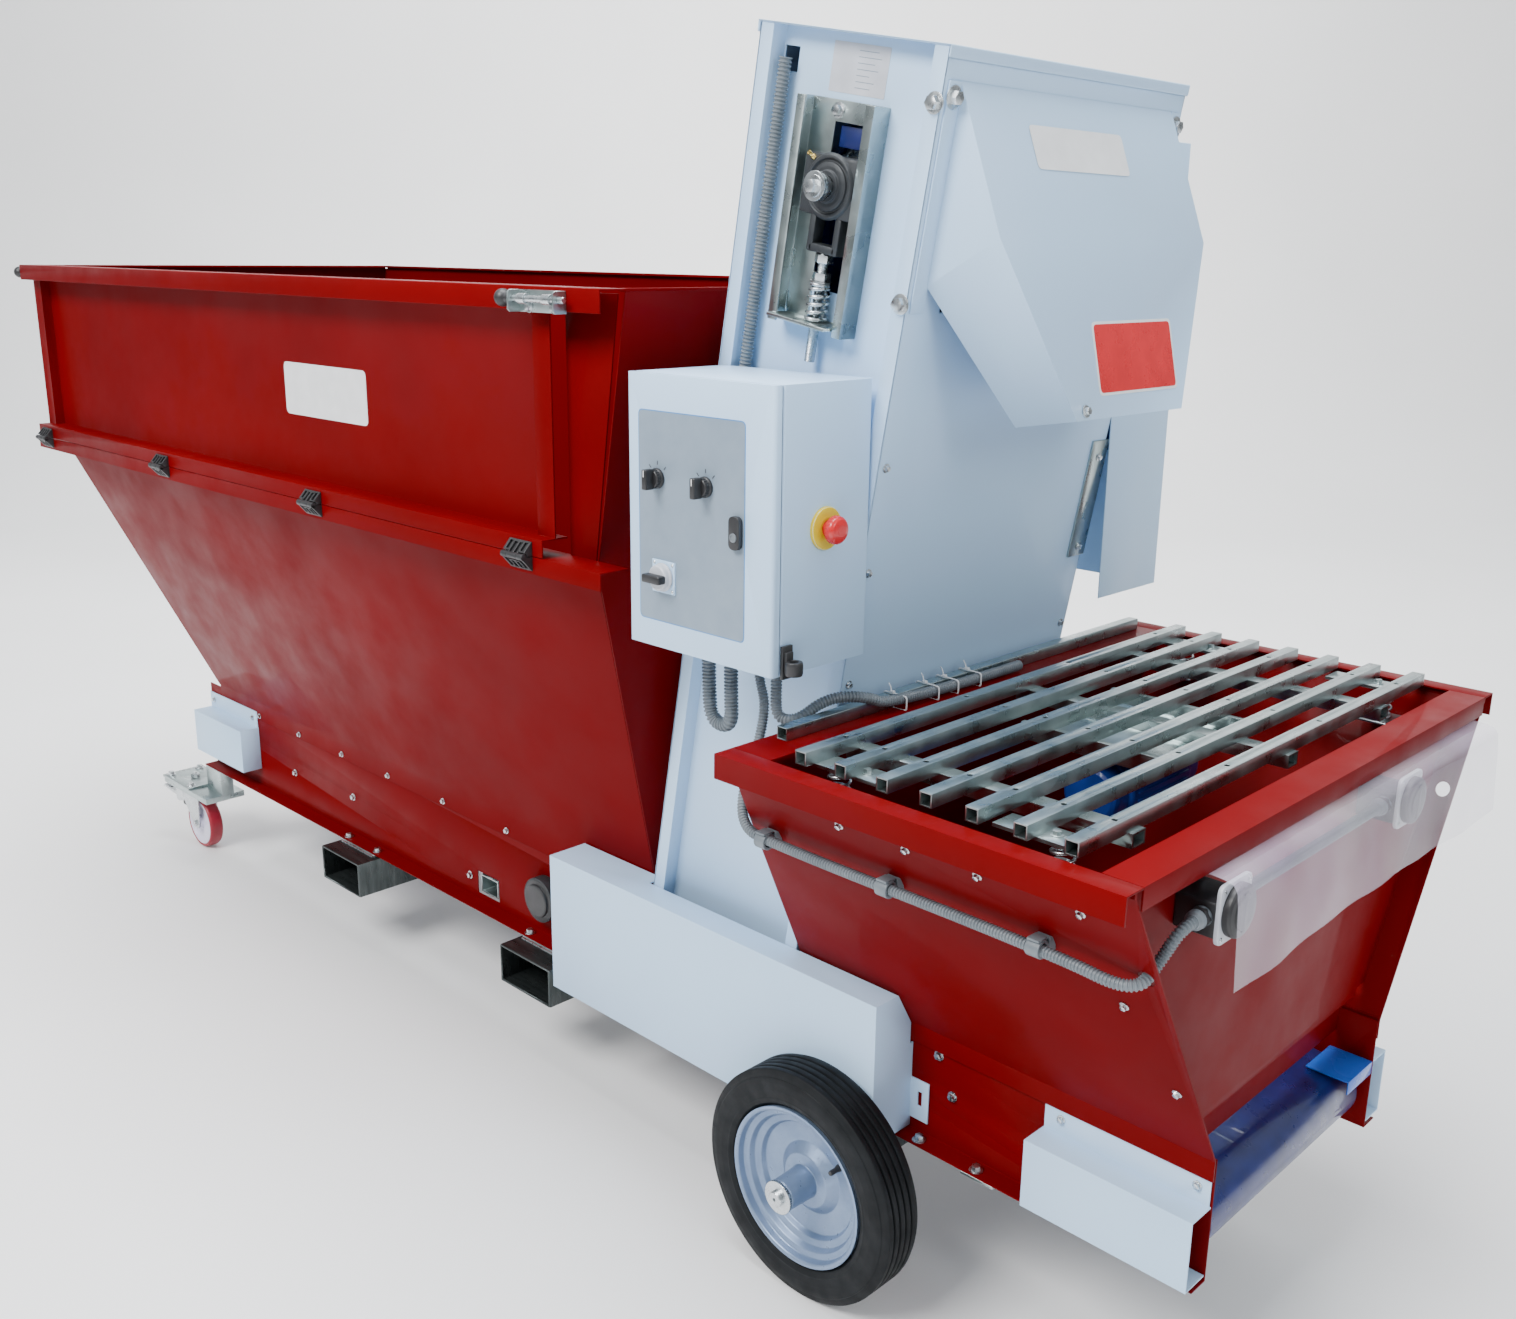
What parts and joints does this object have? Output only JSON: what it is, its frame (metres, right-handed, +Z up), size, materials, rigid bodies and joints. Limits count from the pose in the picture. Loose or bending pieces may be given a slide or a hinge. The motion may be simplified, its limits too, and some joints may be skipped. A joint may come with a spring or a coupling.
{
  "type": "mobile soil feed hopper with bucket belt elevator",
  "caption": "Wheeled feed hopper with a belt floor, leaning bucket belt elevator tower, spout, control cabinet and a return hopper under a vibrating grid.",
  "frame": {"origin": "on the ground, under the centre of the overall box", "axes": "+X from the feed hopper to the return hopper, +Y to the side without the cabinet, +Z up"},
  "size_m": [3.238, 1.12, 1.908],
  "materials": {
    "red_paint": "gloss",
    "white_paint": "satin",
    "galvanised": "satin",
    "black_paint": "satin",
    "tyre": "matte",
    "rim_paint": "satin",
    "caster_wheel": "matte",
    "navy_belt": "matte",
    "cast_black": "satin",
    "zinc": "satin",
    "blue_motor": "satin",
    "black_plastic": "satin",
    "grey_plastic": "satin",
    "red_plastic": "gloss",
    "clear_pvc": "clear"
  },
  "bodies": {
    "machine": {"base_sides": "red_paint", "cross_members": "galvanised", "fork_tubes": "black_paint", "wheel_axle": "galvanised", "caster_brackets": "galvanised", "hopper_ends": "red_paint", "hopper_sides": "red_paint", "flap_hinge_bases": "black_plastic", "conveyor_belts": "navy_belt", "drive_chain": "cast_black", "shaft_bearings": "cast_black", "tensioner_covers": "white_paint", "drive_guard": "white_paint", "tower_sides": "white_paint", "tower_covers": "white_paint", "elevator_belt": "navy_belt", "take_up_frames": "galvanised", "take_up_springs": "zinc", "hood": "white_paint", "motor_cover": "white_paint", "cabinet_body": "white_paint", "return_sides": "red_paint", "return_ends": "red_paint", "grid_springs": "zinc", "rim_bars": "galvanised", "junction_heads": "grey_plastic", "curtain": "clear_pvc", "conduits": "grey_plastic", "conduit_loop": "grey_plastic", "fasteners": "zinc"},
    "wheel_near": {"tyre_near": "tyre", "rim_near": "rim_paint"},
    "wheel_far": {"tyre_far": "tyre", "rim_far": "rim_paint"},
    "caster_near": {"caster_fork_near": "zinc"},
    "caster_far": {"caster_fork_far": "zinc"},
    "caster_near_wheel": {"caster_wheel_near": "caster_wheel"},
    "caster_far_wheel": {"caster_wheel_far": "caster_wheel"},
    "caster_near_brake": {"caster_brake_near": "zinc"},
    "caster_far_brake": {"caster_brake_far": "zinc"},
    "flap": {"hopper_flap": "red_paint", "flap_hardware": "black_plastic"},
    "latch_left": {"flap_latch_left": "black_plastic"},
    "latch_right": {"flap_latch_right": "black_plastic"},
    "take_up": {"take_up_bearings": "cast_black", "gearmotor": "blue_motor"},
    "head_drum": {"head_drum": "zinc"},
    "boot_drum": {"boot_drum": "zinc"},
    "hopper_head_roller": {"hopper_head_roller": "zinc"},
    "hopper_tail_roller": {"hopper_tail_roller": "zinc"},
    "return_head_roller": {"return_head_roller": "zinc"},
    "return_tail_roller": {"return_tail_roller": "zinc"},
    "cabinet_door": {"cabinet_door": "white_paint"},
    "selector_left": {"selector_left": "black_plastic"},
    "selector_right": {"selector_right": "black_plastic"},
    "main_switch": {"main_switch": "black_plastic"},
    "door_lock": {"door_lock": "black_plastic"},
    "estop_button": {"estop_button": "red_plastic"},
    "grid": {"screen_grid": "galvanised", "vibrator_motor": "blue_motor"}
  },
  "joints": [
    {"name": "wheel_near_spin", "type": "hinge", "parent": "machine", "child": "wheel_near", "pos_m": [0.978, -0.409, 0.19], "axis": [0, 1, 0], "continuous": true},
    {"name": "wheel_far_spin", "type": "hinge", "parent": "machine", "child": "wheel_far", "pos_m": [0.978, 0.409, 0.19], "axis": [0, 1, 0], "continuous": true},
    {"name": "caster_near_swivel", "type": "hinge", "parent": "machine", "child": "caster_near", "pos_m": [-1.424, -0.286, 0.166], "axis": [0, 0, 1], "continuous": true},
    {"name": "caster_near_roll", "type": "hinge", "parent": "caster_near", "child": "caster_near_wheel", "pos_m": [-1.385, -0.286, 0.07], "axis": [0, 1, 0], "continuous": true},
    {"name": "caster_near_brake", "type": "hinge", "parent": "caster_near", "child": "caster_near_brake", "pos_m": [-1.486, -0.286, 0.118], "axis": [0, -1, 0], "range_deg": [0, 15]},
    {"name": "caster_far_swivel", "type": "hinge", "parent": "machine", "child": "caster_far", "pos_m": [-1.424, 0.286, 0.166], "axis": [0, 0, 1], "continuous": true},
    {"name": "caster_far_roll", "type": "hinge", "parent": "caster_far", "child": "caster_far_wheel", "pos_m": [-1.385, 0.286, 0.07], "axis": [0, 1, 0], "continuous": true},
    {"name": "caster_far_brake", "type": "hinge", "parent": "caster_far", "child": "caster_far_brake", "pos_m": [-1.486, 0.286, 0.118], "axis": [0, -1, 0], "range_deg": [0, 15]},
    {"name": "flap_hinge", "type": "hinge", "parent": "machine", "child": "flap", "pos_m": [0, -0.548, 1.121], "axis": [1, 0, 0], "range_deg": [0, 165]},
    {"name": "latch_left_pull", "type": "slide", "parent": "flap", "child": "latch_left", "axis": [-1, 0, 0], "range_m": [0, 0.012], "stiffness_N_per_m": 600, "springref_m": -0.006},
    {"name": "latch_right_pull", "type": "slide", "parent": "flap", "child": "latch_right", "axis": [-1, 0, 0], "range_m": [0, 0.012], "stiffness_N_per_m": 600, "springref_m": -0.006},
    {"name": "take_up_slide", "type": "slide", "parent": "machine", "child": "take_up", "axis": [0.1736, 0, 0.9848], "range_m": [-0.02, 0], "stiffness_N_per_m": 60000, "springref_m": 0.02, "deforming": ["take_up_springs"]},
    {"name": "head_drum_spin", "type": "hinge", "parent": "take_up", "child": "head_drum", "pos_m": [0.8736, 0, 1.67748], "axis": [0, 1, 0], "continuous": true},
    {"name": "boot_drum_spin", "type": "hinge", "parent": "machine", "child": "boot_drum", "pos_m": [0.646, 0, 0.4], "axis": [0, 1, 0], "continuous": true},
    {"name": "hopper_head_spin", "type": "hinge", "parent": "machine", "child": "hopper_head_roller", "pos_m": [0.47, 0, 0.372], "axis": [0, 1, 0], "continuous": true},
    {"name": "hopper_tail_spin", "type": "hinge", "parent": "machine", "child": "hopper_tail_roller", "pos_m": [-1.235, 0, 0.372], "axis": [0, 1, 0], "continuous": true},
    {"name": "return_head_spin", "type": "hinge", "parent": "machine", "child": "return_head_roller", "pos_m": [0.835, 0, 0.372], "axis": [0, 1, 0], "continuous": true},
    {"name": "return_tail_spin", "type": "hinge", "parent": "machine", "child": "return_tail_roller", "pos_m": [1.508, 0, 0.312], "axis": [0, 1, 0], "continuous": true},
    {"name": "door_hinge", "type": "hinge", "parent": "machine", "child": "cabinet_door", "pos_m": [0.667, -0.4865, 1.22], "axis": [0, 0, -1], "range_deg": [0, 95]},
    {"name": "selector_left_turn", "type": "hinge", "parent": "cabinet_door", "child": "selector_left", "pos_m": [0.733, -0.5, 1.272], "axis": [0, 1, 0], "range_deg": [-45, 45]},
    {"name": "selector_right_turn", "type": "hinge", "parent": "cabinet_door", "child": "selector_right", "pos_m": [0.834, -0.5, 1.271], "axis": [0, 1, 0], "range_deg": [-45, 45]},
    {"name": "main_switch_turn", "type": "hinge", "parent": "cabinet_door", "child": "main_switch", "pos_m": [0.747, -0.5, 1.129], "axis": [0, 1, 0], "range_deg": [0, 90]},
    {"name": "door_lock_turn", "type": "hinge", "parent": "cabinet_door", "child": "door_lock", "pos_m": [0.898, -0.5, 1.215], "axis": [0, 1, 0], "range_deg": [0, 90]},
    {"name": "estop_press", "type": "slide", "parent": "machine", "child": "estop_button", "axis": [-1, 0, 0], "range_m": [0, 0.006]},
    {"name": "grid_shake", "type": "slide", "parent": "machine", "child": "grid", "axis": [0, 0, 1], "range_m": [-0.003, 0.003], "stiffness_N_per_m": 60000, "springref_m": 0.0054, "deforming": ["grid_springs"]}
  ],
  "couplings": [
    {"joint": "boot_drum_spin", "follows": "head_drum_spin", "ratio": 1},
    {"joint": "hopper_head_spin", "follows": "head_drum_spin", "ratio": 1},
    {"joint": "hopper_tail_spin", "follows": "head_drum_spin", "ratio": 1},
    {"joint": "return_tail_spin", "follows": "return_head_spin", "ratio": 1}
  ]
}
